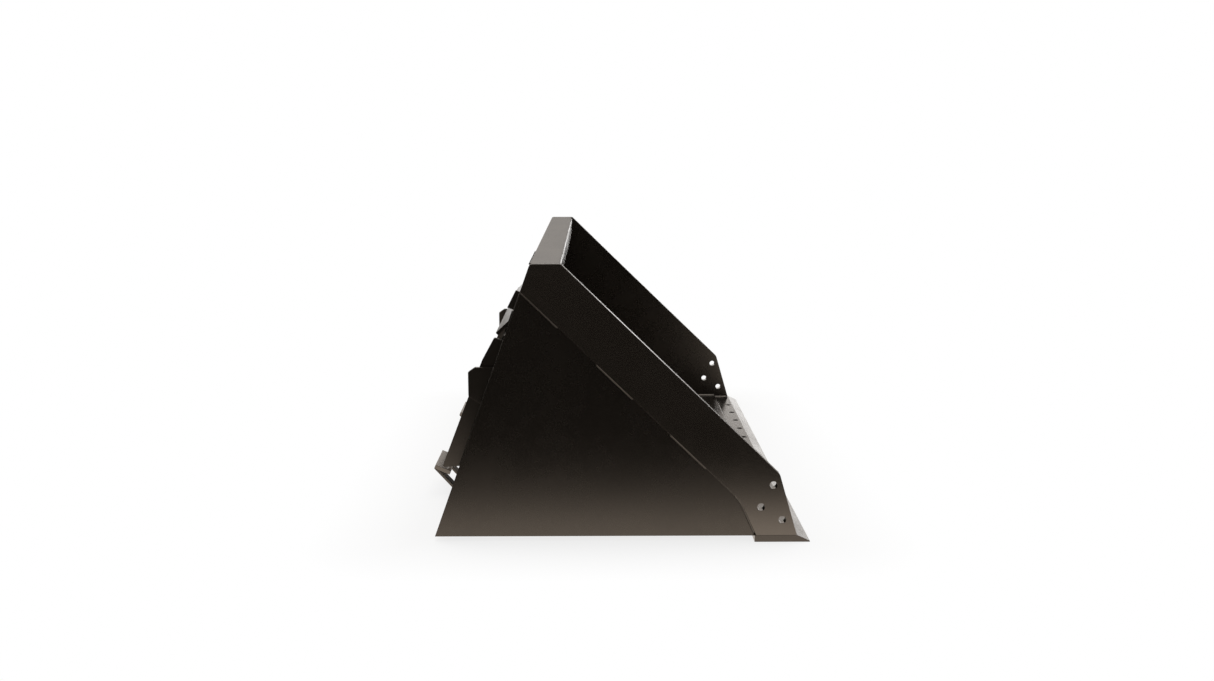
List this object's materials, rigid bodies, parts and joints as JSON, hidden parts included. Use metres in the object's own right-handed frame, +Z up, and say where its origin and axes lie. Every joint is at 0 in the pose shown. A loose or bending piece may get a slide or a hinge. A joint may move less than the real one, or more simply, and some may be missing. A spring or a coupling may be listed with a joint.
{
  "type": "skid steer bucket",
  "caption": "Open-fronted loader bucket with sloping sides, a bolt-ready cutting edge and a quick-attach frame on its back.",
  "frame": {"origin": "middle of the footprint, on the ground that the bucket rests on", "axes": "+X across the bucket, -Y out of the mouth, +Z up; left is +X, seen from the machine"},
  "size_m": [1.829, 1.0864, 0.766],
  "materials": {
    "shell_coat": "semi-gloss black coat",
    "edge_coat": "semi-gloss black coat with worn edges",
    "frame_coat": "semi-gloss black coat, rubbed at the contact faces",
    "wear_steel": "semi-gloss black coat on wear steel"
  },
  "bodies": {
    "root": {"floor_plate": "shell_coat", "back_plate": "shell_coat", "top_lip": "edge_coat", "side_plate_left": "shell_coat", "side_plate_right": "shell_coat", "side_edge_left": "edge_coat", "side_edge_right": "edge_coat", "cutting_edge": "wear_steel", "wear_bar_1": "wear_steel", "wear_bar_2": "wear_steel", "wear_bar_3": "wear_steel", "wear_bar_4": "wear_steel", "hook_rail": "frame_coat", "mount_plate_left": "frame_coat", "mount_plate_right": "frame_coat", "mount_rib_left": "frame_coat", "mount_rib_right": "frame_coat", "guide_plate_left": "frame_coat", "guide_plate_right": "frame_coat", "ear_left": "frame_coat", "ear_right": "frame_coat", "lug_left": "frame_coat", "lug_right": "frame_coat", "tab_left": "edge_coat", "tab_right": "edge_coat", "tab_brace_left": "frame_coat", "tab_brace_right": "frame_coat"}
  },
  "joints": []
}
